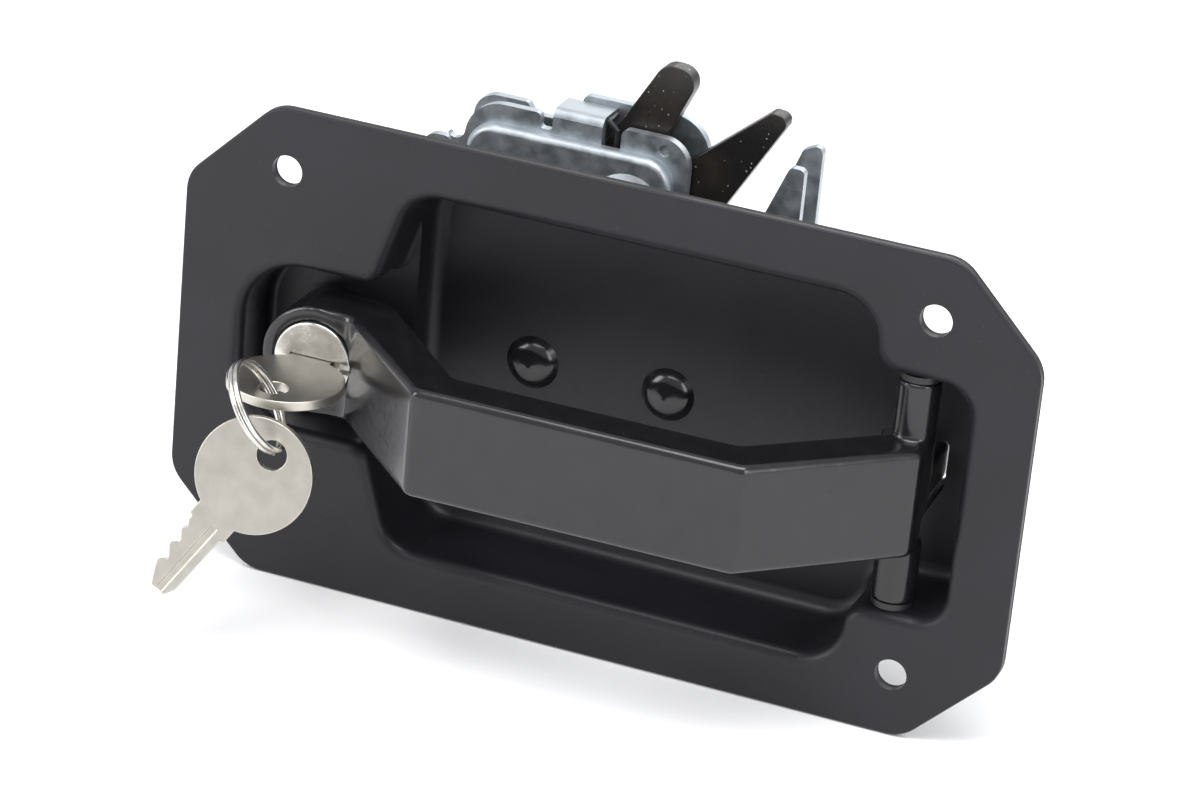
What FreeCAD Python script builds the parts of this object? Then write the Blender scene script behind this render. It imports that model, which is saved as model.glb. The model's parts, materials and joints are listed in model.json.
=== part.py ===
"""Recessed pull-handle rotary gate latch: a parametric FreeCAD assembly in millimetres.

The frame has its origin at the centre of the four mounting holes, on the front face of the flange.
+X points to the hinge end of the handle, +Y into the gate and +Z up.
"""
import FreeCAD, Part
import math
import os

from FreeCAD import Placement, Rotation, Vector

doc = FreeCAD.newDocument("gate_latch")

# ---------------------------------------------------------------- driving dimensions

SIZES = {
    "pan_width": 180.0, "pan_height": 101.6, "pan_chamfer": 18.2, "pan_corner": 8.0,
    "pan_sheet": 1.5, "gasket_thick": 1.0, "screw_x": 68.1, "screw_z": 37.8, "screw_hole": 3.3,
    "recess_depth": 21.5, "recess_half": 38.5, "wing_depth": 14.0, "left_half": 17.5,
    "right_half": 25.0, "recess_left": -76.0, "recess_right": 76.8, "floor_round": 3.0,
    "rim_round": 2.5, "lock_port": 9.0,
    "hinge_x": 65.0, "hinge_y": 5.5, "pin_bore": 2.05, "pin_shank": 2.0, "barrel_round": 4.5,
    "barrel_half": 23.5, "washer_thick": 1.3,
    "grip_half": 11.5, "grip_front": -29.3, "lock_x": -58.4, "head_round": 11.5,
    "head_front": -3.0, "head_back": 11.0, "tail_half": 3.0, "tail_tall": 4.0, "tail_end": 37.2,
    "plug_round": 8.4, "plug_face": -3.6, "plug_gap": 0.05, "plug_end": 16.0,
    "key_thick": 2.0, "key_bow": 11.85, "key_eye": 3.0, "key_tip": 30.5,
    "ring_round": 9.4, "ring_wire": 0.55,
    "dish_front": 25.0, "shell_front": 28.0, "plate_front": 36.0, "zinc_sheet": 2.0,
    "rotor_front": 31.0, "rotor_thick": 4.0, "rotor_x": -5.0, "rotor_z": 35.0,
    "rotor_hub": 12.2, "rotor_shank": 4.0, "pawl_x": -28.0, "pawl_z": -8.0, "pawl_shank": 3.5,
    "rivet_left": -20.5, "rivet_right": 9.0, "rivet_head": 5.65, "rivet_shank": 2.5,
    "stud_near": 22.0, "stud_far": 36.0, "stud_shank": 2.5,
    "link_front": 31.5, "link_thick": 3.0, "link_half": 5.0, "running_gap": 0.05,
}

sheet = doc.addObject("Spreadsheet::Sheet", "Sizes")
for row, (alias, value) in enumerate(SIZES.items(), start=1):
    sheet.set(f"A{row}", alias)
    sheet.set(f"B{row}", str(value))
    sheet.setAlias(f"B{row}", alias)
doc.recompute()

nodes = []


def size(alias):
    """Value of one cell of the size sheet."""
    return float(sheet.get(alias))


def tied(expression):
    """The expression with every size alias pointed at the sheet."""
    words = expression.replace("(", "( ").replace(")", " )").split(" ")
    return " ".join(f"Sizes.{word}" if word in SIZES else word for word in words)


# ---------------------------------------------------------------- outlines

def rounded(corners):
    """Closed outline through (x, y, radius) corners, each turned with a tangent arc."""
    turns = []
    for index, (across, up, radius) in enumerate(corners):
        here = Vector(across, up, 0)
        before = Vector(*corners[index - 1][:2], 0)
        after = Vector(*corners[(index + 1) % len(corners)][:2], 0)
        back = (before - here).normalize()
        ahead = (after - here).normalize()
        half = back.getAngle(ahead) / 2
        if radius == 0:
            turns.append((here, None, here))
            continue
        inward = (back + ahead).normalize()
        reach = radius / math.tan(half)
        middle = here + inward * (radius / math.sin(half) - radius)
        turns.append((here + back * reach, middle, here + ahead * reach))
    curves = []
    for index, (start, middle, end) in enumerate(turns):
        if middle is not None:
            curves.append(Part.Arc(start, middle, end))
        following = turns[(index + 1) % len(turns)][0]
        if end.distanceToPoint(following) > 1e-6:
            curves.append(Part.LineSegment(end, following))
    return curves


def grown(corners, by):
    """The clockwise outline moved outward by a distance, its corner radii changed to suit."""
    moved = []
    for index, (across, up, radius) in enumerate(corners):
        here = Vector(across, up, 0)
        into = (here - Vector(*corners[index - 1][:2], 0)).normalize()
        out = (Vector(*corners[(index + 1) % len(corners)][:2], 0) - here).normalize()
        turn = into.x * out.y - into.y * out.x
        normal = Vector(-into.y, into.x, 0) + Vector(-out.y, out.x, 0)
        shift = normal * (by / (1 + into.dot(out)))
        change = by if turn < 0 else -by
        moved.append((here.x + shift.x, here.y + shift.y, max(radius + change, 0) if radius else 0))
    return moved


def disc(across, up, radius):
    """Circle as a closed outline."""
    return [Part.Circle(Vector(across, up, 0), Vector(0, 0, 1), radius)]


def box(left, right, low, high, radius=0):
    """Clockwise rectangle as (x, y, radius) corners."""
    return [(left, high, radius), (right, high, radius), (right, low, radius), (left, low, radius)]


# ---------------------------------------------------------------- feature helpers

def body(label):
    """A new PartDesign body, registered as one sub-part."""
    made = doc.addObject("PartDesign::Body", label)
    made.Label = label
    nodes.append(made)
    return made


def sketch(part, name, loops, role, offset):
    """Sketch of closed loops on one of the body's origin planes, moved along its normal."""
    drawn = part.newObject("Sketcher::SketchObject", name)
    plane = next(item for item in part.Origin.OriginFeatures if item.Role == role)
    drawn.AttachmentSupport = [(plane, "")]
    drawn.MapMode = "FlatFace"
    drawn.setExpression("AttachmentOffset.Base.z", tied(offset))
    for loop in loops:
        drawn.addGeometry(loop, False)
    return drawn


def pad(part, name, loops, front, depth):
    """Material from the depth plane y = front, running back into the gate."""
    made = part.newObject("PartDesign::Pad", name)
    made.Profile = sketch(part, name + "_outline", loops, "XZ_Plane", f"0 - ( {front} )")
    made.Reversed = True
    made.setExpression("Length", tied(depth))
    return made


def pocket(part, name, loops, front, depth):
    """Material taken away from the plane y = front, running back, with the loss confirmed."""
    doc.recompute()
    before = part.Shape.Volume
    made = part.newObject("PartDesign::Pocket", name)
    made.Profile = sketch(part, name + "_outline", loops, "XZ_Plane", f"0 - ( {front} )")
    made.setExpression("Length", tied(depth))
    doc.recompute()
    if part.Shape.Volume > before - 0.01:
        raise RuntimeError(f"{name} removes nothing")
    return made


def fillet(part, name, radius, chosen):
    """Fillet on the edges that pass a test of the edge."""
    doc.recompute()
    base = part.Tip
    picked = [f"Edge{n}" for n, edge in enumerate(base.Shape.Edges, start=1) if chosen(edge)]
    if not picked:
        raise RuntimeError(f"{name} finds no edge")
    made = part.newObject("PartDesign::Fillet", name)
    made.Base = (base, picked)
    made.setExpression("Radius", tied(radius))
    doc.recompute()
    return made


def in_plane(level, inside=lambda middle: True):
    """Test for edges that lie in the plane y = level and pass a test of their middle."""
    def test(edge):
        bounds = edge.BoundBox
        flat = abs(bounds.YMin - level) < 1e-4 and abs(bounds.YMax - level) < 1e-4
        return flat and inside(bounds.Center)
    return test


def turned(label, profile, role="XY_Plane", axis="V_Axis"):
    """Body of revolution; profile is (radius, along) corners about the sketch's vertical axis."""
    made = body(label)
    spin(made, label + "_turn", profile, role, axis)
    return made


def spin(part, name, profile, role="XY_Plane", axis="V_Axis"):
    """Revolution of (radius, along, rounding) corners inside a body."""
    drawn = sketch(part, name + "_profile", [rounded(profile)], role, "0")
    made = part.newObject("PartDesign::Revolution", name)
    made.Profile = drawn
    made.ReferenceAxis = (drawn, [axis])
    made.Angle = 360
    return made


def place(part, across="0", depth="0", up="0"):
    """Placement of a sub-part bound to the size sheet."""
    part.setExpression("Placement.Base.x", tied(across))
    part.setExpression("Placement.Base.y", tied(depth))
    part.setExpression("Placement.Base.z", tied(up))


def shaped(label, shape, placement=Placement()):
    """Sub-part whose shape comes from Part's own functions."""
    made = doc.addObject("Part::Feature", label)
    made.Label = label
    made.Shape = shape
    made.Placement = placement
    nodes.append(made)
    return made


def wire_along(path, radius):
    """Round wire swept along a path."""
    start = path.Edges[0]
    origin = start.valueAt(start.FirstParameter)
    ring = Part.Wire(Part.makeCircle(radius, origin, start.tangentAt(start.FirstParameter)))
    return Part.Wire(path.Edges).makePipeShell([ring], True, False)


def group(shapes):
    """Separate solids kept together as one sub-part."""
    return Part.makeCompound(shapes)


def tube(outer, inner, front, depth, across, up):
    """Plain sleeve along Y."""
    at = Vector(across, front, up)
    along = Vector(0, 1, 0)
    return Part.makeCylinder(outer, depth, at, along).cut(Part.makeCylinder(inner, depth, at, along))


# ---------------------------------------------------------------- mounting pan and gasket

HALF_WIDTH = size("pan_width") / 2
HALF_HEIGHT = size("pan_height") / 2
CHAMFER = size("pan_chamfer")
CORNER = size("pan_corner")
FLANGE = [
    (-HALF_WIDTH, HALF_HEIGHT - CHAMFER, CORNER), (-HALF_WIDTH + CHAMFER, HALF_HEIGHT, CORNER),
    (HALF_WIDTH - CHAMFER, HALF_HEIGHT, CORNER), (HALF_WIDTH, HALF_HEIGHT - CHAMFER, CORNER),
    (HALF_WIDTH, -HALF_HEIGHT + CHAMFER, CORNER), (HALF_WIDTH - CHAMFER, -HALF_HEIGHT, CORNER),
    (-HALF_WIDTH + CHAMFER, -HALF_HEIGHT, CORNER), (-HALF_WIDTH, -HALF_HEIGHT + CHAMFER, CORNER),
]
TALL = size("recess_half")
LEFT = size("left_half")
RIGHT = size("right_half")
TALL_LEFT = -41.0
WAIST = -47.5
STEP = -43.9
TALL_RIGHT = 56.3


def mirrored(upper):
    """Upper outline, left to right, closed with its own mirror image below z = 0."""
    return upper + [(across, -up, radius) for across, up, radius in reversed(upper)]


RECESS = mirrored([
    (size("recess_left"), LEFT, 13), (WAIST, LEFT, 4), (TALL_LEFT, TALL, 8),
    (TALL_RIGHT, TALL, 9), (TALL_RIGHT + 0.5, RIGHT, 5), (size("recess_right"), RIGHT, 6),
])
STEP_HALF = LEFT + (STEP - WAIST) / (TALL_LEFT - WAIST) * (TALL - LEFT)
DEEP = mirrored([
    (STEP, STEP_HALF, 0), (TALL_LEFT, TALL, 8),
    (TALL_RIGHT, TALL, 9), (TALL_RIGHT + 0.5, RIGHT, 5), (size("recess_right"), RIGHT, 6),
])
SHEET = size("pan_sheet")
SCREWS = [(x * size("screw_x"), z * size("screw_z")) for x in (-1, 1) for z in (-1, 1)]
screw_holes = [disc(x, z, size("screw_hole")) for x, z in SCREWS]


def build_pan():
    """Pressed steel pan: octagonal flange, two-level recess, screw, rivet, pin and tail holes."""
    pan = body("mounting_pan")
    pad(pan, "flange", [rounded(FLANGE)] + screw_holes, "0", "pan_sheet")
    pad(pan, "wing_tub", [rounded(grown(RECESS, SHEET))], "0", "wing_depth + pan_sheet")
    pad(pan, "deep_tub", [rounded(grown(DEEP, SHEET))], "0", "recess_depth + pan_sheet")
    deep_back = size("recess_depth") + SHEET
    fillet(pan, "deep_back_round", "floor_round + pan_sheet", in_plane(deep_back))
    pocket(pan, "wing_recess", [rounded(RECESS)], "0", "wing_depth")
    pocket(pan, "deep_recess", [rounded(DEEP)], "0", "recess_depth")
    fillet(pan, "deep_floor_round", "floor_round", in_plane(size("recess_depth")))
    fillet(pan, "wing_floor_round", "floor_round - 1.5",
           in_plane(size("wing_depth"), lambda middle: middle.x < STEP - 1))
    fillet(pan, "rim_bend", "rim_round",
           in_plane(0, lambda middle: abs(middle.x) < 78 and abs(middle.z) < 39.5
                    and not (abs(middle.x) > 60 and abs(middle.z) > 30)))
    fillet(pan, "flange_edge", "pan_sheet / 3",
           in_plane(0, lambda middle: abs(middle.x) > 78 or abs(middle.z) > 40))
    rivets = [disc(size(name), 0, size("rivet_shank")) for name in ("rivet_left", "rivet_right")]
    pocket(pan, "rivet_holes", rivets, "recess_depth - 1", "pan_sheet + 2")
    pocket(pan, "lock_port_hole", [disc(size("lock_x"), 0, size("lock_port"))],
           "wing_depth - 1", "pan_sheet + 2")
    centre = size("lock_x")
    cam_room = [(centre - 11.4, 5.6, 2), (centre + 9.0, 5.6, 3), (centre + 9.0, -11.4, 3),
                (centre - 11.4, -11.4, 3)]
    pocket(pan, "cam_room", [rounded(cam_room)], "wing_depth - 1", "pan_sheet + 2")
    pocket(pan, "tail_slot", [rounded(box(54.2, 68.3, -4.3, 4.3, 1.2))],
           "recess_depth - 1", "pan_sheet + 2")
    doc.recompute()
    drill = pan.newObject("PartDesign::Pocket", "pin_holes")
    drill.Profile = sketch(pan, "pin_holes_outline",
                           [disc(size("hinge_x"), size("hinge_y"), size("pin_shank"))], "XY_Plane", "0")
    drill.Midplane = True
    drill.setExpression("Length", tied("right_half * 2 + pan_sheet * 2 + 2"))


def build_gasket():
    """Closed-cell gasket between the flange and the gate."""
    gasket = body("flange_gasket")
    opening = rounded(grown(RECESS, SHEET + 2.2))
    pad(gasket, "gasket_sheet", [rounded(FLANGE), opening] + screw_holes, "pan_sheet", "gasket_thick")


# ---------------------------------------------------------------- handle and hinge

def build_handle():
    """Die-cast pull handle: lock head, cranked grip, hinge barrel and release tail."""
    handle = body("pull_handle")
    front = size("grip_front")
    hinge = size("hinge_x")
    plan = [
        (size("lock_x") - 3, size("head_front"), 0), (-51, size("head_front"), 3), (-25.8, front, 2),
        (42, front + 1.1, 2), (69.4, -2.0, 2.5), (69.5, size("hinge_y"), 0), (60.5, size("hinge_y"), 0),
        (60.2, 3.5, 2), (37.6, front + 11.5, 3), (-21.4, front + 10.6, 3), (-46.5, 8.5, 5),
        (size("lock_x") - 3, 8.5, 0),
    ]
    bar = handle.newObject("PartDesign::Pad", "grip_bar")
    bar.Profile = sketch(handle, "grip_plan", [rounded(plan)], "XY_Plane", "0")
    bar.Midplane = True
    bar.setExpression("Length", tied("grip_half * 2"))
    fillet(handle, "grip_edges", "1.6",
           lambda edge: abs(abs(edge.BoundBox.Center.z) - size("grip_half")) < 1e-4
           and -57 < edge.BoundBox.Center.x < 57)
    head_length = "head_back - head_front"
    pad(handle, "lock_head", [disc(size("lock_x"), 0, size("head_round"))], "head_front", head_length)
    barrel = handle.newObject("PartDesign::Pad", "hinge_barrel")
    barrel.Profile = sketch(handle, "barrel_outline",
                            [disc(hinge, size("hinge_y"), size("barrel_round"))], "XY_Plane", "0")
    barrel.Midplane = True
    barrel.setExpression("Length", tied("barrel_half * 2"))
    tail = size("tail_half")
    tall = size("tail_tall")
    pad(handle, "release_tail", [rounded(box(hinge - tail, hinge + tail, -tall, tall, 1))],
        "hinge_y", "tail_end - hinge_y")
    pocket(handle, "lock_bore", [disc(size("lock_x"), 0, size("plug_round") + size("plug_gap"))],
           "head_front - 1", "head_back - head_front + 2")
    doc.recompute()
    for name, radius, low, high in (("pin_bore_cut", size("pin_bore"), -25, 25),
                                    ("spring_pocket", size("barrel_round") + 0.1, -11, -4.8)):
        cut = handle.newObject("PartDesign::Pocket", name)
        cut.Profile = sketch(handle, name + "_outline",
                             [disc(hinge, size("hinge_y"), radius)], "XY_Plane", str(high))
        cut.Length = high - low
        doc.recompute()


def build_hinge():
    """Headed hinge pin, its push-on clip, two washers and the handle's return spring."""
    shank = size("pin_shank")
    wall = size("right_half") + SHEET
    pin = turned("hinge_pin", [(0, -wall - 1.9, 0), (shank, -wall - 1.9, 0.4), (shank, wall + 0.05, 0),
                               (2.8, wall + 0.05, 0), (2.8, wall + 1.6, 0.6), (0, wall + 1.6, 0)],
                 "XZ_Plane")
    place(pin, "hinge_x", "hinge_y", "0")
    clip = turned("hinge_pin_clip", [(shank, -0.4, 0), (2.8, -0.4, 0), (2.8, 0.4, 0), (shank, 0.4, 0)],
                  "XZ_Plane")
    place(clip, "hinge_x", "hinge_y", "0 - right_half - pan_sheet - 0.5")
    thick = size("washer_thick")
    low = size("barrel_half") + 0.1
    washers = [Part.makeCylinder(4.2, thick, Vector(0, 0, at)).cut(
        Part.makeCylinder(size("pin_bore"), thick, Vector(0, 0, at))) for at in (low, -low - thick)]
    shaped("hinge_washers", group(washers),
           Placement(Vector(size("hinge_x"), size("hinge_y"), 0), Rotation()))
    radius = 3.2
    wire = 0.5
    height = 4.6
    coil = Part.makeHelix(height / 3, height, radius)
    coil.translate(Vector(0, 0, -10.2))
    top = Vector(radius, 0, -10.2 + height)
    leg = wire_along(Part.Wire([Part.makeLine(top, top + Vector(0, 14.4, 1))]), wire)
    spring = wire_along(Part.Wire(coil.Edges), wire).fuse(leg)
    shaped("handle_return_spring", spring,
           Placement(Vector(size("hinge_x"), size("hinge_y"), 0), Rotation()))


# ---------------------------------------------------------------- lock and keys

def build_lock():
    """Lock plug with its keyway, circlip, cam and cam nut."""
    plug = body("lock_plug")
    radius = size("plug_round")
    face = size("plug_face")
    end = size("plug_end")
    spin(plug, "plug_turn", [(0, face, 0), (radius, face, 0.5), (radius, 11.4, 0), (7.4, 11.4, 0),
                             (7.4, 12.4, 0), (radius - 0.2, 12.4, 0), (radius - 0.2, end, 0),
                             (3, end, 0), (3, end + 5.4, 0.5), (0, end + 5.4, 0)])
    gap = size("key_thick") / 2 + 0.15
    pocket(plug, "keyway", [rounded(box(-4.0, 4.0, -gap, gap))], "plug_face - 1", "key_tip - 11")
    pocket(plug, "keyway_mouth", [rounded(box(-4.8, 4.8, -gap, gap))], "plug_face - 1", "3.7")
    pocket(plug, "index_notch", [rounded(box(6.2, radius + 1, -1.1, 1.1))], "plug_face - 1", "2.2")
    place(plug, "lock_x")
    clip = turned("plug_circlip", [(7.45, 11.45, 0), (9.6, 11.45, 0), (9.6, 12.35, 0), (7.45, 12.35, 0)])
    place(clip, "lock_x")
    cam = body("lock_cam")
    outline = [(-5, 5, 4), (5, 5, 4), (5, -10.6, 2), (-5, -10.6, 2)]
    pad(cam, "cam_plate", [rounded(outline), disc(0, 0, 3.0)], "plug_end + 0.6", "zinc_sheet")
    place(cam, "lock_x")
    nut = body("cam_nut")
    hexagon = [(5.0 * math.cos(math.radians(60 * k)), -5.0 * math.sin(math.radians(60 * k)), 0)
               for k in range(6)]
    pad(nut, "nut_block", [rounded(hexagon), disc(0, 0, 3.0)], "plug_end + 2.7", "2.5")
    place(nut, "lock_x")


def key_shape():
    """Flat key: bow at the origin, face along Y, tip towards -Z."""
    thick = size("key_thick")
    cuts = [(3.7, -15.4, 0), (2.9, -16.6, 0), (3.6, -17.8, 0), (2.2, -19.6, 0), (2.2, -20.4, 0),
            (3.4, -21.8, 0), (1.7, -23.8, 0), (1.7, -24.6, 0), (3.0, -26.0, 0), (2.4, -27.2, 0)]
    blade = [(-4.5, -6, 0), (4.5, -6, 0), (4.5, -14.2, 0.5), (3.7, -14.4, 0)] + cuts + [
        (0.6, -size("key_tip"), 0.5), (-2.6, -size("key_tip"), 0.7), (-3.7, -28.2, 0.4),
        (-3.7, -14.6, 0), (-4.5, -14.2, 0.5)]

    def slab(curves, front, depth):
        wire = Part.Wire(Part.__sortEdges__([curve.toShape() for curve in curves]))
        flat = Part.Face(wire)
        flat.rotate(Vector(), Vector(1, 0, 0), 90)
        flat.translate(Vector(0, front, 0))
        return flat.extrude(Vector(0, depth, 0))
    bow = slab(disc(0, 0, size("key_bow")), -thick / 2, thick)
    shape = bow.fuse(slab(rounded(blade), -thick / 2, thick))
    shape = shape.cut(slab(disc(0, 5.6, size("key_eye")), -thick, 2 * thick))
    groove = box(-1.9, -0.5, -size("key_tip") - 1, -13)
    for front in (-thick, thick / 2 - 0.45):
        shape = shape.cut(slab(rounded(groove), front, thick / 2 + 0.45))
    return shape.removeSplitter()


def build_keys():
    """Key standing in the lock, split ring through its eye, and the spare key on the ring."""
    key = key_shape()
    into_lock = Rotation(Vector(1, 0, 0), Vector(0, 0, 1), Vector(0, -1, 0), "ZXY")
    shaped("lock_key", key.copy(), Placement(Vector(size("lock_x"), -15.7, 0), into_lock))
    tip = Vector(-0.521, -0.301, -0.80).normalize()
    face = Vector(0.196, -0.953, 0.230)
    face = (face - tip * face.dot(tip)).normalize()
    side = tip.cross(face).normalize()
    turn = Rotation(side, face * -1, tip * -1, "ZXY")
    eye = Vector(-52.7, -32.5, -7.8)
    shaped("spare_key", key, Placement(eye + tip * 5.6, turn))
    ring_axis = Vector(0.837, 0.139, 0.53).normalize()
    wire = size("ring_wire")
    pitch = wire * 2 + 0.06
    coil = Part.makeHelix(pitch, pitch * 1.97, size("ring_round"))
    coil.translate(Vector(0, 0, -pitch * 0.985))
    shaped("split_ring", wire_along(Part.Wire(coil.Edges), wire),
           Placement(Vector(-57.24, -30.61, 0.6), Rotation(Vector(0, 0, 1), ring_axis)))


# ---------------------------------------------------------------- latch housing

THROAT_LEFT = 6.3
THROAT_RIGHT = 19.3
THROAT_LOW = 21.5
DISH = [(-40.7, 47, 6), (3.6, 47, 6), (3.6, 16, 4), (16, 12, 4), (16, -17, 4), (-40.7, -17, 6)]


def build_front_plate():
    """Front plate: dished seat, throat, guide finger and the stop tab folded over the top."""
    plate = body("latch_front_plate")
    outline = [
        (-42, 50.8, 8), (-26, 50.8, 1), (-26, 47.6, 0.8), (-23.3, 47.6, 0.8), (-23.3, 50.6, 0),
        (-12.6, 50.6, 0), (-12.6, 44.6, 0.8), (-8.5, 44.6, 0.8), (-8.5, 51.2, 1.5),
        (THROAT_LEFT, 51.2, 6), (THROAT_LEFT, THROAT_LOW, 6.2), (THROAT_RIGHT, THROAT_LOW, 6.2),
        (19.3, 31, 4), (27.2, 50.9, 1.2), (30.3, 50.9, 1.2), (30.3, 14, 4), (42, 10, 4),
        (42, -14, 4), (-42, -23, 6), (-42, 24, 4), (-51, 31, 3), (-51, 41.5, 3), (-45, 41.5, 3),
        (-42, 37, 2),
    ]
    pad(plate, "flange_plate", [rounded(outline)], "shell_front", "zinc_sheet")
    pad(plate, "dish_block", [rounded(DISH)], "dish_front", "shell_front - dish_front")
    fillet(plate, "dish_edge", "1.5", in_plane(size("dish_front")))
    pocket(plate, "dish_hollow", [rounded(grown(DISH, -2.0))], "dish_front + zinc_sheet", "6")
    tab = plate.newObject("PartDesign::Pad", "stop_tab")
    fold = [(28.0, 50.5, 0), (28.0, 52.3, 2.2), (35.9, 52.3, 0), (35.9, 50.3, 0), (30.0, 50.3, 0.6),
            (30.0, 49, 0), (28.0, 49, 0)]
    tab.Profile = sketch(plate, "stop_tab_fold", [rounded(fold)], "YZ_Plane", "0 - 23.3")
    tab.Length = 23.3 - 12.6
    holes = [disc(size("rotor_x"), size("rotor_z"), size("rotor_shank")),
             disc(size("pawl_x"), size("pawl_z"), size("pawl_shank"))]
    holes += [disc(size(name), 0, size("rivet_shank")) for name in ("rivet_left", "rivet_right")]
    holes += [disc(size(name), 0, size("stud_shank") - 0.5) for name in ("stud_near", "stud_far")]
    pocket(plate, "plate_holes", holes, "dish_front - 1", "10")
    pocket(plate, "locating_dimple", [disc(0.8, 48.5, 1.2)], "shell_front - 1", "1.6")


def build_back_plate():
    """Back plate: taller than the front one, with its own throat, finger and folded side wall."""
    plate = body("latch_back_plate")
    outline = [
        (-43.6, 49.5, 5), (-32, 49.5, 1), (-30.5, 47.2, 1), (-21, 47.2, 1), (-20, 53.6, 1.5),
        (8.2, 53.6, 8), (7.6, 44, 3), (THROAT_LEFT, 40, 2), (THROAT_LEFT, THROAT_LOW, 6.2),
        (THROAT_RIGHT, THROAT_LOW, 6.2), (19.3, 31, 4), (27.0, 52.2, 1.4), (31.2, 54.2, 1.4),
        (31.2, 14, 4), (42, 10, 4), (42, -14, 4), (-43.6, -23, 6),
    ]
    pad(plate, "rear_sheet", [rounded(outline)], "plate_front", "zinc_sheet")
    pad(plate, "side_wall", [rounded(box(-43.6, -42.1, -4, 40, 0))], "shell_front + 2.2",
        "plate_front - shell_front - 2.2")
    holes = [disc(size("rotor_x"), size("rotor_z"), size("rotor_shank")),
             disc(size("pawl_x"), size("pawl_z"), size("pawl_shank"))]
    holes += [disc(size(name), 0, size("stud_shank") - 0.5) for name in ("stud_near", "stud_far")]
    pocket(plate, "plate_holes", holes, "plate_front - 1", "4")


# ---------------------------------------------------------------- moving latch parts

def build_rotor():
    """Two-pronged rotor that takes the striker bar; modelled open, with prongs up."""
    rotor = body("rotor")
    across = size("rotor_x")
    up = size("rotor_z")
    prongs = [
        (-13.8, 44.9, 1), (-2.1, 65.4, 3.6), (6.2, 64.8, 3.4), (-2.4, 45.0, 3.0), (4.2, 45.6, 2.5),
        (21.2, 60.1, 1.5), (25.6, 59.6, 1.8), (9.2, 31.0, 3), (0, 31, 0), (-9, 34, 0),
    ]
    hub = [disc(across, up, size("rotor_hub"))]
    pad(rotor, "hub", hub, "rotor_front", "rotor_thick")
    pad(rotor, "prong_blade", [rounded(prongs)], "rotor_front", "rotor_thick")
    notch = [(across + 1.7, up - 8.5, 1.2), (across + 9.0, up - 5.4, 2.5), (across + 14, up - 14, 0),
             (across + 2.4, up - 15, 0)]
    pocket(rotor, "catch_notch", [rounded(notch)], "rotor_front - 1", "rotor_thick + 2")
    pocket(rotor, "pivot_bore", [disc(across, up, size("rotor_shank") + size("running_gap"))],
           "rotor_front - 1", "rotor_thick + 2")


def build_pawl():
    """Pawl that stops the rotor from turning back, pushed aside by the release link."""
    pawl = body("pawl")
    across = size("pawl_x")
    up = size("pawl_z")
    outline = [(-33.5, -4, 3), (-24.5, 26, 3), (-21.4, 31.8, 1), (-17.4, 30.8, 1), (-14.4, 26.4, 1),
               (-12.9, 21.5, 2), (-13.2, 18.5, 2), (-22.2, -9.6, 3), (-28, -12, 0), (-33, -10, 0)]
    pad(pawl, "pawl_hub", [disc(across, up, 6.5)], "rotor_front", "rotor_thick")
    pad(pawl, "pawl_arm", [rounded(outline)], "rotor_front", "rotor_thick")
    pocket(pawl, "pivot_bore", [disc(across, up, size("pawl_shank") + size("running_gap"))],
           "rotor_front - 1", "rotor_thick + 2")


def build_link():
    """Sliding link from the handle's tail to the pawl, guided by two studs in one slot."""
    link = body("release_link")
    half = size("link_half")
    right = size("hinge_x") - size("tail_half") - 0.3
    outline = [(-12.4, 20.4, 1.2), (-7.5, 20.4, 2), (5.5, half, 4), (right, half, 1),
               (right, -half, 1), (4, -half, 4)]
    pad(link, "link_plate", [rounded(outline)], "link_front", "link_thick")
    slot = box(size("stud_near") - 2.6, size("stud_far") + 11.2 + 2.6, -2.6, 2.6, 2.59)
    pocket(link, "guide_slot", [rounded(slot)], "link_front - 1", "link_thick + 2")


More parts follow.
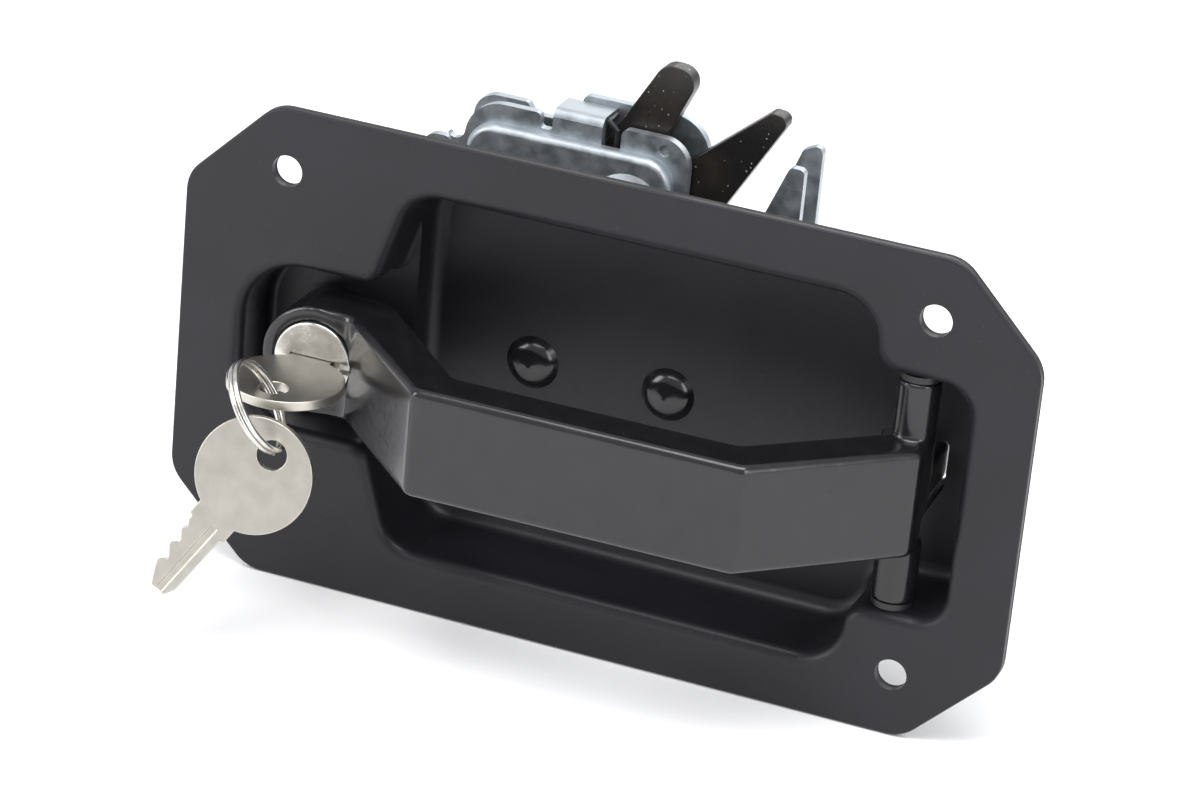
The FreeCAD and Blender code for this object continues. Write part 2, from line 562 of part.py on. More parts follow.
def build_fasteners():
    """Recess rivets and their spacers, pivot rivets, sleeves and guide studs."""
    floor = size("recess_depth")
    head = size("rivet_head")
    shank = size("rivet_shank")
    dish_back = size("dish_front") + size("zinc_sheet")
    for label, across in (("recess_rivet_left", "rivet_left"), ("recess_rivet_right", "rivet_right")):
        rivet = turned(label, [
            (0, floor - 2.6, 0), (head * 0.72, floor - 1.9, 3.5), (head, floor, 0),
            (shank, floor, 0), (shank, dish_back, 0), (4.2, dish_back, 0),
            (3.6, dish_back + 1.5, 0.5), (0, dish_back + 1.7, 0)])
        place(rivet, across)
    back = floor + SHEET
    gap = size("dish_front") - back
    shaped("housing_spacers", group([tube(5.5, shank, back, gap, size(name), 0)
                                     for name in ("rivet_left", "rivet_right")]))
    rear = size("plate_front") + size("zinc_sheet")
    dish = size("dish_front")
    for label, radius, head_round, across, up in (
            ("rotor_pivot_rivet", size("rotor_shank"), 8.2, "rotor_x", "rotor_z"),
            ("pawl_pivot_rivet", size("pawl_shank"), 5.8, "pawl_x", "pawl_z")):
        pivot = turned(label, [
            (0, dish - 1.8, 0), (head_round * 0.6, dish - 1.5, 3), (head_round, dish, 0),
            (radius, dish, 0), (radius, rear, 0), (radius + 2.6, rear, 0),
            (radius + 1.6, rear + 1.7, 0.6), (0, rear + 2.0, 0)])
        place(pivot, across, "0", up)
    near = size("rotor_front") - 0.1
    far = size("rotor_front") + size("rotor_thick") + 0.1
    for label, radius, wall, across, up in (
            ("rotor_sleeves", size("rotor_shank"), 1.0, size("rotor_x"), size("rotor_z")),
            ("pawl_sleeves", size("pawl_shank"), 1.2, size("pawl_x"), size("pawl_z"))):
        shaped(label, group([
            tube(radius + wall, radius, dish_back, near - dish_back, across, up),
            tube(radius + 2.5, radius, far, size("plate_front") - far, across, up)]))
    stud = size("stud_shank")
    front = size("shell_front")
    inner = front + size("zinc_sheet")
    for label, across in (("guide_stud_near", "stud_near"), ("guide_stud_far", "stud_far")):
        made = turned(label, [
            (0, front - 1.2, 0), (stud + 1, front - 1.2, 0.4), (stud + 1, front, 0),
            (stud - 0.5, front, 0), (stud - 0.5, inner, 0), (stud, inner, 0),
            (stud, size("plate_front"), 0), (stud - 0.5, size("plate_front"), 0), (stud - 0.5, rear, 0),
            (stud + 1, rear, 0), (stud + 1, rear + 1.2, 0.4), (0, rear + 1.2, 0)])
        place(made, across)


def build_springs():
    """Rotor and pawl torsion springs, each a coil in the dish with its legs."""
    for label, across, up, radius, wire, legs in (
            ("rotor_spring", size("rotor_x"), size("rotor_z"), 5.75, 0.55,
             [[(-4.9, 0.2, 3.4), (-4.9, 1.9, 9.0), (-4.9, 1.9, 15.0), (-6.9, 2.0, 16.6),
               (-6.9, 6.2, 16.6)], [(5.75, 2.7, 0), (5.6, 2.7, 7.5)]]),
            ("pawl_spring", size("pawl_x"), size("pawl_z"), 5.6, 0.5,
             [[(-5.6, 0.2, 0), (-7.5, 0.4, 12.0)], [(5.6, 2.7, 0), (5.0, 2.7, 14.0)]])):
        coil = Part.makeHelix(1.3, 2.6, radius)
        coil.rotate(Vector(), Vector(1, 0, 0), -90)
        coil.translate(Vector(0, 0.15, 0))
        solid = wire_along(Part.Wire(coil.Edges), wire)
        for leg in legs:
            points = [Vector(*point) for point in leg]
            for start, end in zip(points, points[1:]):
                run = Part.makeCylinder(wire, (end - start).Length, start, end - start)
                solid = solid.fuse([run, Part.makeSphere(wire, end), Part.makeSphere(wire, start)])
        shaped(label, solid, Placement(Vector(across, size("dish_front") + 2.6, up), Rotation()))


def finish():
    """Confirm every object and write one STEP file per sub-part."""
    doc.recompute()
    for item in doc.Objects:
        if "Invalid" in item.State or "Error" in item.State:
            raise RuntimeError(f"{item.Name} failed: {item.State}")
    os.makedirs("parts", exist_ok=True)
    for node in nodes:
        if node.Shape.isNull() or not node.Shape.isValid():
            raise RuntimeError(f"{node.Label} has no valid shape")
        node.Shape.exportStep(f"parts/{node.Label}.step")
        print(f"{node.Label:24s} {len(node.Shape.Solids)} solid(s) {node.Shape.Volume:10.1f} mm3")


build_pan()
build_gasket()
build_handle()
build_hinge()
build_lock()
build_keys()
build_front_plate()
build_back_plate()
build_rotor()
build_pawl()
build_link()
build_fasteners()
build_springs()
finish()
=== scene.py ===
"""Recessed pull-handle rotary gate latch: finishes, softened metalwork and studio."""

import json
import math

import bpy
from mathutils import Matrix, Vector

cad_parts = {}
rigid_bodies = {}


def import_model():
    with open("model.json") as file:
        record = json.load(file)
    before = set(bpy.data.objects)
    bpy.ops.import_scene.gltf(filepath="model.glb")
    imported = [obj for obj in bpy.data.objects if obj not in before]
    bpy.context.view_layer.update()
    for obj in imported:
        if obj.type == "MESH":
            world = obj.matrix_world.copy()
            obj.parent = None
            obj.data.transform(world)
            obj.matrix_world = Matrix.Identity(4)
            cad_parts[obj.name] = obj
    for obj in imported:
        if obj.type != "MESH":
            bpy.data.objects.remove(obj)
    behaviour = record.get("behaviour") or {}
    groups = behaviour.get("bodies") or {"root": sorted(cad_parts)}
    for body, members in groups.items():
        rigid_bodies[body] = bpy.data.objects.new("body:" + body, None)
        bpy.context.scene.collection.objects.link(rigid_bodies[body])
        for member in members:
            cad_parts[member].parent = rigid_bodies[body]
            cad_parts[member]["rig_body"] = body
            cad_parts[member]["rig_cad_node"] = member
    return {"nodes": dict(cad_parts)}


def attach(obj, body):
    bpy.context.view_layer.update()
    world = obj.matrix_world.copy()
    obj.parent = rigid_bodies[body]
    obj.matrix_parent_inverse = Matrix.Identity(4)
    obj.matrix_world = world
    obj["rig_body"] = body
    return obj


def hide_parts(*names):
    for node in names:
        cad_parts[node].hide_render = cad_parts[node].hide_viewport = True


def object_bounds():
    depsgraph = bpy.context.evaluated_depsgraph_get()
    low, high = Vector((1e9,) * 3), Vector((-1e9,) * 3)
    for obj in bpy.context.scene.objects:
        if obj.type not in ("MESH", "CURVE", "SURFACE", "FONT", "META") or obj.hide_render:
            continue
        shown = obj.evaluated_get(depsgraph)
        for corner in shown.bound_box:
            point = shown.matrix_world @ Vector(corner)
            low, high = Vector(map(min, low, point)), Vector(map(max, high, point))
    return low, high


bl_info = {
    "name": "Gate Latch Builder",
    "version": (1, 0, 0),
    "blender": (4, 5, 0),
    "location": "View3D > Sidebar > Gate Latch",
    "description": "Builds a recessed rotary gate latch with a locking pull handle",
    "category": "Add Mesh",
}

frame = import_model()
cad_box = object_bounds()

MM = 0.001
MERGE_GAP = 0.002 * MM          # corners nearer than this are one corner
FLAT_ANGLE = math.radians(0.4)  # faces that turn less than this are one flat
SMOOTH_ANGLE = math.radians(32) # faces that turn less than this are shaded as one

# The camera's lens, and its place and axes in the latch's frame
LENS_MM, SENSOR_MM = 136.2, 36.0
CAMERA_PLACE = Vector((275.616, -773.388, 362.646)) * MM
CAMERA_AXES = (
    Vector((0.92544512, 0.36823709, 0.08917835)),
    Vector((-0.22411172, 0.34224868, 0.91249097)),
    Vector((0.30549184, -0.86444623, 0.39925862)),
)

# Soft boxes: name, place, width, height and watts, each aimed at the latch's middle
AIM = (0, 0, 0.01)
SOFT_BOXES = (
    ("overhead_box", (0.10, -0.35, 1.05), 0.9, 0.6, 12),
    ("left_box", (-0.95, -0.75, 0.50), 0.5, 0.9, 9),
    ("right_box", (0.95, -0.55, 0.45), 0.35, 0.8, 4),
    ("rear_box", (0.1, 0.95, 0.65), 1.0, 0.6, 4),
)
SKY_COLOUR, SKY_STRENGTH = (0.96, 0.97, 1.0, 1.0), 0.72


# ---------------------------------------------------------------- settings

class GateLatchSizes(bpy.types.PropertyGroup):
    """Sizes a maker may change without touching the mechanism"""
    casting_softness: bpy.props.IntProperty(
        name="Casting softness",
        description="Smoothing passes that blend the cast handle's corners",
        default=9, min=0, max=30)
    casting_grid: bpy.props.FloatProperty(
        name="Casting grid", description="Mesh size of the cast handle's skin",
        default=0.44 * MM, min=0.2 * MM, unit="LENGTH", subtype="DISTANCE")
    sheared_edge: bpy.props.FloatProperty(
        name="Sheared edge", description="Rounding left on the edges of the stamped plates",
        default=0.28 * MM, min=0.0, unit="LENGTH", subtype="DISTANCE")
    key_edge: bpy.props.FloatProperty(
        name="Key edge", description="Rounding on the rim of the key blanks",
        default=0.34 * MM, min=0.0, unit="LENGTH", subtype="DISTANCE")
    small_edge: bpy.props.FloatProperty(
        name="Small part edge", description="Rounding on the clips, nut and cam",
        default=0.12 * MM, min=0.0, unit="LENGTH", subtype="DISTANCE")
    floor_size: bpy.props.FloatProperty(
        name="Floor size", description="Width of the studio floor",
        default=8.0, min=1.0, unit="LENGTH", subtype="DISTANCE")


class GateLatchColours(bpy.types.PropertyGroup):
    """Base colours of the finishes"""
    powder_black: bpy.props.FloatVectorProperty(
        name="Powder coat", description="Satin black powder coat on the recessed pan",
        default=(0.0085, 0.0085, 0.0115), size=3, min=0, max=1, subtype="COLOR")
    enamel_black: bpy.props.FloatVectorProperty(
        name="Enamel", description="Gloss black enamel on the cast handle",
        default=(0.0070, 0.0070, 0.0082), size=3, min=0, max=1, subtype="COLOR")
    zinc: bpy.props.FloatVectorProperty(
        name="Zinc plate", description="Bright zinc on the latch plates",
        default=(0.40, 0.435, 0.465), size=3, min=0, max=1, subtype="COLOR")
    nickel: bpy.props.FloatVectorProperty(
        name="Nickel plate", description="Nickel on the lock plug and the split ring",
        default=(0.62, 0.605, 0.575), size=3, min=0, max=1, subtype="COLOR")
    key_silver: bpy.props.FloatVectorProperty(
        name="Nickel silver", description="Warm grey metal of the key blanks",
        default=(0.50, 0.475, 0.425), size=3, min=0, max=1, subtype="COLOR")
    e_coat: bpy.props.FloatVectorProperty(
        name="Rotor coat", description="Thin black coat on the rotor",
        default=(0.0085, 0.0082, 0.0082), size=3, min=0, max=1, subtype="COLOR")
    nylon: bpy.props.FloatVectorProperty(
        name="Nylon", description="Black nylon of the hinge washers",
        default=(0.014, 0.014, 0.015), size=3, min=0, max=1, subtype="COLOR")
    rubber: bpy.props.FloatVectorProperty(
        name="Gasket rubber", description="Foam rubber gasket behind the flange",
        default=(0.018, 0.018, 0.018), size=3, min=0, max=1, subtype="COLOR")


# ---------------------------------------------------------------- shader maths

class Wire:
    """An output socket that Python arithmetic can be written on."""

    def __init__(self, graph, socket):
        self.graph, self.socket = graph, socket

    def __add__(self, other):
        return self.graph.maths("ADD", self, other)

    def __radd__(self, other):
        return self.graph.maths("ADD", other, self)

    def __sub__(self, other):
        return self.graph.maths("SUBTRACT", self, other)

    def __rsub__(self, other):
        return self.graph.maths("SUBTRACT", other, self)

    def __mul__(self, other):
        return self.graph.maths("MULTIPLY", self, other)

    def __rmul__(self, other):
        return self.graph.maths("MULTIPLY", other, self)

    def __gt__(self, other):
        return self.graph.maths("GREATER_THAN", self, other)

    def __lt__(self, other):
        return self.graph.maths("LESS_THAN", self, other)

    def __abs__(self):
        return self.graph.maths("ABSOLUTE", self)


class Graph:
    """The node tree of one material, with its principled shader at the end."""

    def __init__(self, name):
        self.material = bpy.data.materials.new(name)
        self.material.use_nodes = True
        self.tree = self.material.node_tree
        self.shader = next(n for n in self.tree.nodes if n.type == "BSDF_PRINCIPLED")
        self.place = self.tree.nodes.new("ShaderNodeTexCoord")

    def node(self, kind, settings=None, out=0, **inputs):
        """One node: settings first, then the values or wires of its inputs by name or number."""
        made = self.tree.nodes.new(kind)
        for key, value in (settings or {}).items():
            setattr(made, key, value)
        for key, value in inputs.items():
            name = int(key[1:]) if key[0] == "_" else key.replace("_", " ")
            self.feed(made.inputs[name], value)
        return Wire(self, made.outputs[out])

    def feed(self, socket, value):
        """Links a wire to a socket, or sets the socket's own value."""
        if isinstance(value, Wire):
            self.tree.links.new(value.socket, socket)
        else:
            socket.default_value = value

    def maths(self, operation, *values):
        """A Math node on wires or numbers."""
        return self.node("ShaderNodeMath", {"operation": operation},
                         **{f"_{n}": value for n, value in enumerate(values)})

    def within(self):
        """Object coordinates, in metres in the shared frame."""
        return Wire(self, self.place.outputs["Object"])

    def facing(self, axis):
        """How far the surface faces along one axis, from 0 to 1."""
        parts = self.node("ShaderNodeSeparateXYZ", out="XYZ".index(axis),
                          Vector=Wire(self, self.place.outputs["Normal"]))
        return abs(parts)

    def stretched(self, across, along, up):
        """Object coordinates scaled apart, for grain that runs one way."""
        return self.node("ShaderNodeMapping", Vector=self.within(), Scale=(across, along, up))

    def noise(self, grain, detail=2.0, rough=0.5, over=None):
        """Cloudy noise from 0 to 1, its grain size given in metres."""
        return self.node("ShaderNodeTexNoise", Vector=over or self.within(), Scale=1 / grain,
                         Detail=detail, Roughness=rough)

    def specks(self, spacing, size):
        """Mask of small round specks, one per cell."""
        far = self.node("ShaderNodeTexVoronoi", Vector=self.within(), Scale=1 / spacing)
        return far < size / spacing

    def ranged(self, wire, low, high, to_low, to_high):
        """The wire carried from one range to another, held at its ends."""
        return self.node("ShaderNodeMapRange", {"clamp": True}, _0=wire, _1=low, _2=high,
                         _3=to_low, _4=to_high)

    def blend(self, mask, first, second):
        """Two colours mixed by a mask."""
        first, second = ((*c, 1.0) if isinstance(c, tuple) else c for c in (first, second))
        return self.node("ShaderNodeMix", {"data_type": "RGBA"}, out=2,
                         _0=mask, _6=first, _7=second)

    def mottle(self, cloud, dark, light, low=0.3, high=0.7):
        """Two tones that drift into each other with a cloudy noise."""
        return self.blend(self.ranged(cloud, low, high, 0, 1), dark, light)

    def bump(self, height, strength, depth):
        """Surface relief, its depth in metres."""
        return self.node("ShaderNodeBump", Height=height, Strength=strength, Distance=depth)

    def finish(self, **sockets):
        """Sets or links the shader's sockets."""
        for key, value in sockets.items():
            if isinstance(value, tuple):
                value = (*value, 1.0)
            self.feed(self.shader.inputs[key.replace("_", " ")], value)
        return self.material


def tint(colour, by):
    """A colour made lighter or darker."""
    return tuple(min(channel * by, 1.0) for channel in colour)


def colours():
    """The scene's finish colours."""
    return bpy.context.scene.gate_latch_colours


def sizes():
    """The scene's finish sizes."""
    return bpy.context.scene.gate_latch_sizes


# ---------------------------------------------------------------- finishes

def powder_coat():
    """Satin black powder coat with a fine orange peel."""
    g = Graph("black_powder_coat")
    base = tuple(colours().powder_black)
    cloud = g.noise(18 * MM, 3)
    peel = g.noise(0.85 * MM, 2, 0.55)
    grit = g.noise(0.28 * MM, 1)
    dust = g.specks(2.6 * MM, 0.10 * MM)
    tone = g.mottle(cloud, tint(base, 0.82), tint(base, 1.18))
    tone = g.blend(dust * 0.30, tone, (0.16, 0.16, 0.17))
    return g.finish(
        Base_Color=tone,
        Roughness=g.ranged(peel, 0.3, 0.7, 0.34, 0.43) + cloud * 0.05,
        Specular_IOR_Level=0.36,
        Normal=g.bump(peel + grit * 0.35, 0.26, 0.05 * MM))


def gloss_enamel():
    """Gloss black enamel over a die casting."""
    g = Graph("black_gloss_enamel")
    base = tuple(colours().enamel_black)
    flow = g.noise(5.5 * MM, 2)
    skin = g.noise(1.1 * MM, 2, 0.45)
    dust = g.specks(3.4 * MM, 0.09 * MM)
    tone = g.mottle(flow, tint(base, 0.85), tint(base, 1.2))
    return g.finish(
        Base_Color=g.blend(dust * 0.3, tone, (0.14, 0.14, 0.14)),
        Roughness=g.ranged(skin, 0.3, 0.7, 0.17, 0.25) + flow * 0.04,
        Coat_Weight=0.35, Coat_Roughness=0.10, Specular_IOR_Level=0.38,
        Normal=g.bump(flow * 0.6 + skin * 0.4, 0.22, 0.07 * MM))


def zinc_plate():
    """Bright zinc: a mottled blue-grey face, with every face that does not face along Y (the
    sheared edges) painted lighter, partly the cut surface and partly a painted highlight.
    """
    g = Graph("zinc_plate")
    base = tuple(colours().zinc)
    spangle = g.noise(3.2 * MM, 4, 0.62)
    cloud = g.noise(15 * MM, 3)
    grain = g.noise(0.22 * MM, 2, 0.6, over=g.stretched(1, 1, 0.16))
    pits = g.specks(1.9 * MM, 0.11 * MM)
    # Painted highlight: faces not facing along Y (the plate edges and bent tops) get a lighter
    # zinc, partly the sheared surface and partly painted light catching the edges
    shear_and_painted_highlight = 1 - g.ranged(g.facing("Y"), 0.35, 0.75, 0, 1)
    face = g.mottle(spangle * 0.6 + cloud * 0.4, tint(base, 0.58), tint(base, 1.08), 0.35, 0.65)
    tone = g.blend(shear_and_painted_highlight, face, tint(base, 1.22))
    tone = g.blend(pits * 0.5, tone, tint(base, 0.35))
    return g.finish(
        Base_Color=tone, Metallic=0.92,
        Roughness=g.ranged(spangle, 0.3, 0.7, 0.34, 0.50) + grain * 0.06,
        Normal=g.bump(grain * 0.5 + spangle * 0.5, 0.20, 0.05 * MM))


def spring_steel():
    """Plain spring steel, drawn and lightly oiled."""
    g = Graph("spring_steel")
    cloud = g.noise(1.6 * MM, 3)
    fine = g.noise(0.15 * MM, 2)
    tone = g.mottle(cloud, (0.34, 0.34, 0.35), (0.56, 0.56, 0.57))
    return g.finish(Base_Color=tone, Metallic=0.95, Roughness=g.ranged(fine, 0.3, 0.7, 0.26, 0.38),
                    Normal=g.bump(fine, 0.12, 0.02 * MM))


def black_spring():
    """Phosphated music wire."""
    g = Graph("black_spring")
    cloud = g.noise(1.4 * MM, 3)
    fine = g.noise(0.12 * MM, 2)
    tone = g.mottle(cloud, (0.014, 0.014, 0.015), (0.05, 0.05, 0.052))
    return g.finish(Base_Color=tone, Metallic=0.55, Roughness=g.ranged(fine, 0.3, 0.7, 0.28, 0.42),
                    Normal=g.bump(fine, 0.15, 0.02 * MM))


def moulded_nylon():
    """Moulded black nylon."""
    g = Graph("black_nylon")
    base = tuple(colours().nylon)
    cloud = g.noise(4 * MM, 3)
    skin = g.noise(0.4 * MM, 2)
    tone = g.mottle(cloud, tint(base, 0.9), tint(base, 1.05))
    return g.finish(Base_Color=tone, Roughness=g.ranged(skin, 0.3, 0.7, 0.38, 0.5),
                    Normal=g.bump(skin, 0.15, 0.03 * MM))


def nickel_plate():
    """Polished nickel with faint turning marks."""
    g = Graph("nickel_plate")
    base = tuple(colours().nickel)
    cloud = g.noise(2.4 * MM, 3)
    fine = g.noise(0.16 * MM, 2, 0.5, over=g.stretched(0.25, 1, 1))
    tone = g.mottle(cloud, tint(base, 0.80), tint(base, 1.12))
    return g.finish(Base_Color=tone, Metallic=0.97,
                    Roughness=g.ranged(cloud, 0.3, 0.7, 0.17, 0.26) + fine * 0.05,
                    Normal=g.bump(fine, 0.12, 0.02 * MM))


def nickel_silver():
    """Tumbled nickel silver, with fine handling scratches."""
    g = Graph("nickel_silver")
    base = tuple(colours().key_silver)
    cloud = g.noise(3.5 * MM, 3)
    scratch = g.noise(0.12 * MM, 3, 0.6, over=g.stretched(1, 1, 0.10))
    cross = g.noise(0.14 * MM, 3, 0.6, over=g.stretched(0.14, 1, 1))
    tone = g.mottle(cloud, tint(base, 0.95), tint(base, 1.07))
    marks = (scratch > 0.66) + (cross > 0.69)
    return g.finish(Base_Color=g.blend(marks * 0.18, tone, tint(base, 0.55)), Metallic=0.96,
                    Roughness=g.ranged(cloud, 0.3, 0.7, 0.27, 0.31) + scratch * 0.08,
                    Normal=g.bump(scratch * 0.6 + cross * 0.4, 0.16, 0.02 * MM))


def e_coat():
    """Thin black coat that lets rolled steel show as pale specks."""
    g = Graph("black_e_coat")
    base = tuple(colours().e_coat)
    cloud = g.noise(9 * MM, 3)
    skin = g.noise(0.5 * MM, 2)
    specks = g.specks(1.5 * MM, 0.13 * MM) + g.specks(2.7 * MM, 0.22 * MM)
    tone = g.mottle(cloud, base, (0.020, 0.016, 0.0135), 0.42, 0.72)
    worn = g.ranged(g.noise(4 * MM, 1), 0.40, 0.62, 0, 0.75)
    tone = g.blend(specks * worn, tone, (0.50, 0.50, 0.50))
    return g.finish(Base_Color=tone, Roughness=g.ranged(skin, 0.3, 0.7, 0.26, 0.40),
                    Specular_IOR_Level=0.42,
                    Normal=g.bump(skin + specks * 0.3, 0.22, 0.05 * MM))


def gasket_rubber():
    """Closed-cell foam rubber."""
    g = Graph("gasket_rubber")
    base = tuple(colours().rubber)
    cells = g.node("ShaderNodeTexVoronoi", Vector=g.within(), Scale=1 / (0.5 * MM))
    cloud = g.noise(7 * MM, 3)
    tone = g.mottle(cloud, tint(base, 0.8), tint(base, 1.5))
    return g.finish(Base_Color=tone, Roughness=g.ranged(cells, 0, 0.6, 0.72, 0.88),
                    Normal=g.bump(cells, 0.35, 0.08 * MM))


def pale_floor():
    """Matt pale paper sweep."""
    g = Graph("studio_floor")
    cloud = g.noise(0.35, 2)
    tone = g.mottle(cloud, (0.90, 0.90, 0.903), (0.93, 0.93, 0.932))
    return g.finish(Base_Color=tone, Roughness=0.75)


FINISHES = {
    "black_powder_coat": powder_coat, "black_gloss_enamel": gloss_enamel, "zinc_plate": zinc_plate,
    "spring_steel": spring_steel, "black_spring": black_spring, "black_nylon": moulded_nylon,
    "nickel_plate": nickel_plate, "nickel_silver": nickel_silver, "black_e_coat": e_coat,
    "gasket_rubber": gasket_rubber,
}
made_finishes = {}


def finish_named(slot):
    """The material of one slot, made the first time it is asked for."""
    if slot not in made_finishes:
        made_finishes[slot] = FINISHES[slot]()
    return made_finishes[slot]


def slot_of(node):
    """Material slot that the record gives a CAD node."""
    return frame["nodes"][node].data.materials[0].name


def paint(node, slot):
    """Gives a CAD node that is kept as it is its finish."""
    frame["nodes"][node].material_slots[0].material = finish_named(slot)


# ---------------------------------------------------------------- modelling helpers

def clear():
    """Leaves object mode with nothing selected."""
    if bpy.context.mode != "OBJECT":
        bpy.ops.object.mode_set(mode="OBJECT")
    bpy.ops.object.select_all(action="DESELECT")


def work_on(piece):
    """Makes one object the only selected and active one."""
    clear()
    piece.select_set(True)
    bpy.context.view_layer.objects.active = piece


def duplicate_of(node, name, whole=True):
    """A copy of a CAD node as a new piece, its loose triangles merged and its flats made whole."""
    work_on(frame["nodes"][node])
    bpy.ops.object.duplicate()
    piece = bpy.context.view_layer.objects.active
    piece.name = piece.data.name = name
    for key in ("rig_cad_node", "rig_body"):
        if key in piece:
            del piece[key]
    bpy.ops.mesh.customdata_custom_splitnormals_clear()
    bpy.ops.object.mode_set(mode="EDIT")
    bpy.ops.mesh.select_all(action="SELECT")
    bpy.ops.mesh.remove_doubles(threshold=MERGE_GAP)
    bpy.ops.mesh.mark_sharp(clear=True)
    if whole:
        bpy.ops.mesh.dissolve_limited(angle_limit=FLAT_ANGLE)
    bpy.ops.object.mode_set(mode="OBJECT")
    return piece


def rounded_edges(piece, width, segments):
    """Bevels every edge sharper than 28 degrees and smooths the rest."""
    work_on(piece)
    soft = piece.modifiers.new("soft_edge", "BEVEL")
    soft.width, soft.segments = width, segments
    soft.limit_method, soft.angle_limit = "ANGLE", math.radians(28)
    soft.use_clamp_overlap, soft.miter_outer = True, "MITER_ARC"
    bpy.ops.object.modifier_apply(modifier=soft.name)
    bpy.ops.object.shade_smooth_by_angle(angle=SMOOTH_ANGLE)
    even = piece.modifiers.new("even_shading", "WEIGHTED_NORMAL")
    even.keep_sharp = True
    bpy.ops.object.modifier_apply(modifier=even.name)


def adopt(piece, body, slot, *nodes):
    """Gives a finished piece its finish and its body, and hides the CAD nodes it stands for."""
    piece.data.materials.clear()
    piece.data.materials.append(finish_named(slot))
    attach(piece, body)
    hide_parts(*nodes)


def softened(node, body, width, segments=3):
    """Stands a soft-edged copy in for a CAD node."""
    slot = slot_of(node)
    piece = duplicate_of(node, node + "_soft")
    rounded_edges(piece, width, segments)
    adopt(piece, body, slot, node)


# ---------------------------------------------------------------- operators

class GATELATCH_OT_pan(bpy.types.Operator):
    """Finish the recessed pan"""
    bl_idname = "gate_latch.pan"
    bl_label = "Recessed pan"

    def execute(self, context):
        paint("mounting_pan", "black_powder_coat")
        return {"FINISHED"}


class GATELATCH_OT_gasket(bpy.types.Operator):
    """Finish the foam gasket"""
    bl_idname = "gate_latch.gasket"
    bl_label = "Gasket"

    def execute(self, context):
        paint("flange_gasket", "gasket_rubber")
        return {"FINISHED"}


class GATELATCH_OT_handle(bpy.types.Operator):
    """Give the pull handle its even, softly blended cast skin"""
    bl_idname = "gate_latch.handle"
    bl_label = "Pull handle"

    def execute(self, context):
        piece = duplicate_of("pull_handle", "pull_handle_cast", whole=False)
        work_on(piece)
        skin = piece.modifiers.new("even_skin", "REMESH")
        skin.mode, skin.voxel_size = "VOXEL", sizes().casting_grid
        bpy.ops.object.modifier_apply(modifier=skin.name)
        soft = piece.modifiers.new("cast_softness", "SMOOTH")
        soft.factor, soft.iterations = 0.5, sizes().casting_softness
        bpy.ops.object.modifier_apply(modifier=soft.name)
        bpy.ops.object.shade_smooth()
        adopt(piece, "handle", "black_gloss_enamel", "pull_handle")
        return {"FINISHED"}


class GATELATCH_OT_hinge(bpy.types.Operator):
    """Finish the hinge pin, clip, washers and return spring"""
    bl_idname = "gate_latch.hinge"
    bl_label = "Hinge"

    def execute(self, context):
        softened("hinge_pin_clip", "base", sizes().small_edge, 2)
        paint("hinge_pin", "zinc_plate")
        paint("hinge_washers", "black_nylon")
        paint("handle_return_spring", "black_spring")
        return {"FINISHED"}


class GATELATCH_OT_lock(bpy.types.Operator):
    """Finish the lock plug, circlip, cam and nut"""
    bl_idname = "gate_latch.lock"
    bl_label = "Lock"

    def execute(self, context):
        paint("lock_plug", "nickel_plate")
        for node in ("plug_circlip", "lock_cam", "cam_nut"):
            softened(node, "plug", sizes().small_edge, 2)
        return {"FINISHED"}


class GATELATCH_OT_keys(bpy.types.Operator):
    """Soften the two key blanks and finish their split ring"""
    bl_idname = "gate_latch.keys"
    bl_label = "Keys"

    def execute(self, context):
        softened("lock_key", "key", sizes().key_edge, 3)
        softened("spare_key", "spare", sizes().key_edge, 3)
        paint("split_ring", "nickel_plate")
        return {"FINISHED"}


class GATELATCH_OT_plates(bpy.types.Operator):
    """Soften the sheared edges of the two latch plates"""
    bl_idname = "gate_latch.plates"
    bl_label = "Latch plates"

    def execute(self, context):
        softened("latch_front_plate", "base", sizes().sheared_edge)
        softened("latch_back_plate", "base", sizes().sheared_edge)
        return {"FINISHED"}


class GATELATCH_OT_rotor(bpy.types.Operator):
    """Soften the forked rotor"""
    bl_idname = "gate_latch.rotor"
    bl_label = "Rotor"

    def execute(self, context):
        softened("rotor", "rotor_body", sizes().sheared_edge * 1.8, 4)
        return {"FINISHED"}


class GATELATCH_OT_release(bpy.types.Operator):
    """Soften the pawl and the release link"""
    bl_idname = "gate_latch.release"
    bl_label = "Pawl and link"

    def execute(self, context):
        softened("pawl", "pawl_body", sizes().sheared_edge)
        softened("release_link", "link", sizes().sheared_edge)
        return {"FINISHED"}


class GATELATCH_OT_fasteners(bpy.types.Operator):
    """Finish the rivets, studs, sleeves and spacers"""
    bl_idname = "gate_latch.fasteners"
    bl_label = "Fasteners"

    def execute(self, context):
        for node in ("recess_rivet_left", "recess_rivet_right"):
            paint(node, "black_gloss_enamel")
        for node in ("housing_spacers", "rotor_pivot_rivet", "pawl_pivot_rivet", "rotor_sleeves",
                     "pawl_sleeves", "guide_stud_near", "guide_stud_far"):
            paint(node, "zinc_plate")
        return {"FINISHED"}


class GATELATCH_OT_springs(bpy.types.Operator):
    """Finish the rotor and pawl springs"""
    bl_idname = "gate_latch.springs"
    bl_label = "Springs"

    def execute(self, context):
        for node in ("rotor_spring", "pawl_spring"):
            paint(node, "black_spring")
        return {"FINISHED"}


def soft_light(name, place, width, height, watts):
    """A rectangular soft box aimed at the latch."""
    bpy.ops.object.light_add(type="AREA", location=place)
    lamp = bpy.context.object
    lamp.name = lamp.data.name = name
    lamp.data.shape, lamp.data.size, lamp.data.size_y = "RECTANGLE", width, height
    lamp.data.energy = watts
    lamp.rotation_mode = "QUATERNION"
    lamp.rotation_quaternion = (Vector(AIM) - Vector(place)).to_track_quat("-Z", "Y")


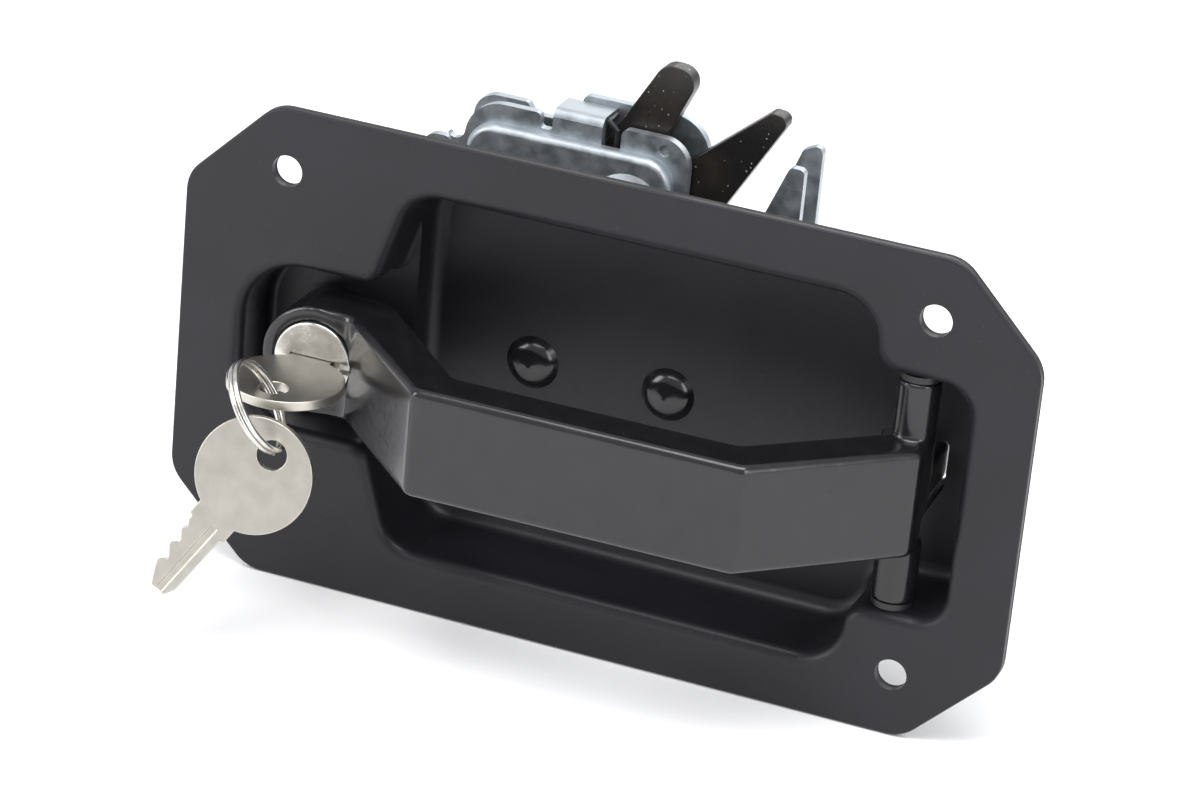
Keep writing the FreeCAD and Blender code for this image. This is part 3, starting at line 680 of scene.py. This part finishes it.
class GATELATCH_OT_stage(bpy.types.Operator):
    """Set up the floor, soft boxes and camera"""
    bl_idname = "gate_latch.stage"
    bl_label = "Stage"

    def execute(self, context):
        clear()
        below = cad_box[0].z - 0.2 * MM
        bpy.ops.mesh.primitive_plane_add(size=sizes().floor_size, location=(0, 0, below))
        floor = context.object
        floor.name = floor.data.name = "studio_floor"
        floor.data.materials.append(pale_floor())

        sky = bpy.data.worlds.new("studio_sky")
        sky.use_nodes = True
        air = next(n for n in sky.node_tree.nodes if n.type == "BACKGROUND")
        air.inputs["Color"].default_value = SKY_COLOUR
        air.inputs["Strength"].default_value = SKY_STRENGTH
        context.scene.world = sky
        context.scene.view_settings.view_transform = "Standard"

        for box in SOFT_BOXES:
            soft_light(*box)

        view = bpy.data.cameras.new("product_camera")
        view.lens, view.sensor_width = LENS_MM, SENSOR_MM
        view.clip_start, view.clip_end = 0.02, 50
        eye = bpy.data.objects.new("product_camera", view)
        context.scene.collection.objects.link(eye)
        turn = Matrix(CAMERA_AXES).transposed().to_4x4()
        turn.translation = CAMERA_PLACE
        eye.matrix_world = turn
        context.scene.camera = eye
        return {"FINISHED"}


OPERATORS = (
    GATELATCH_OT_pan, GATELATCH_OT_gasket, GATELATCH_OT_handle, GATELATCH_OT_hinge,
    GATELATCH_OT_lock, GATELATCH_OT_keys, GATELATCH_OT_plates, GATELATCH_OT_rotor,
    GATELATCH_OT_release, GATELATCH_OT_fasteners, GATELATCH_OT_springs, GATELATCH_OT_stage,
)


class GATELATCH_PT_sidebar(bpy.types.Panel):
    """Sidebar list of the latch's sizes, colours and builders"""
    bl_idname = "GATELATCH_PT_sidebar"
    bl_label = "Gate Latch"
    bl_space_type = "VIEW_3D"
    bl_region_type = "UI"
    bl_category = "Gate Latch"

    def draw(self, context):
        column = self.layout.column(align=True)
        for group in (context.scene.gate_latch_sizes, context.scene.gate_latch_colours):
            for key in group.bl_rna.properties.keys():
                if key not in {"rna_type", "name"}:
                    column.prop(group, key)
        for operator in OPERATORS:
            column.operator(operator.bl_idname)


CLASSES = (GateLatchSizes, GateLatchColours, *OPERATORS, GATELATCH_PT_sidebar)


def register():
    for cls in CLASSES:
        bpy.utils.register_class(cls)
    bpy.types.Scene.gate_latch_sizes = bpy.props.PointerProperty(type=GateLatchSizes)
    bpy.types.Scene.gate_latch_colours = bpy.props.PointerProperty(type=GateLatchColours)


def unregister():
    del bpy.types.Scene.gate_latch_colours
    del bpy.types.Scene.gate_latch_sizes
    for cls in reversed(CLASSES):
        bpy.utils.unregister_class(cls)


def main():
    register()
    for operator in OPERATORS:
        group, name = operator.bl_idname.split(".")
        getattr(getattr(bpy.ops, group), name)()


if __name__ == "__main__":
    main()
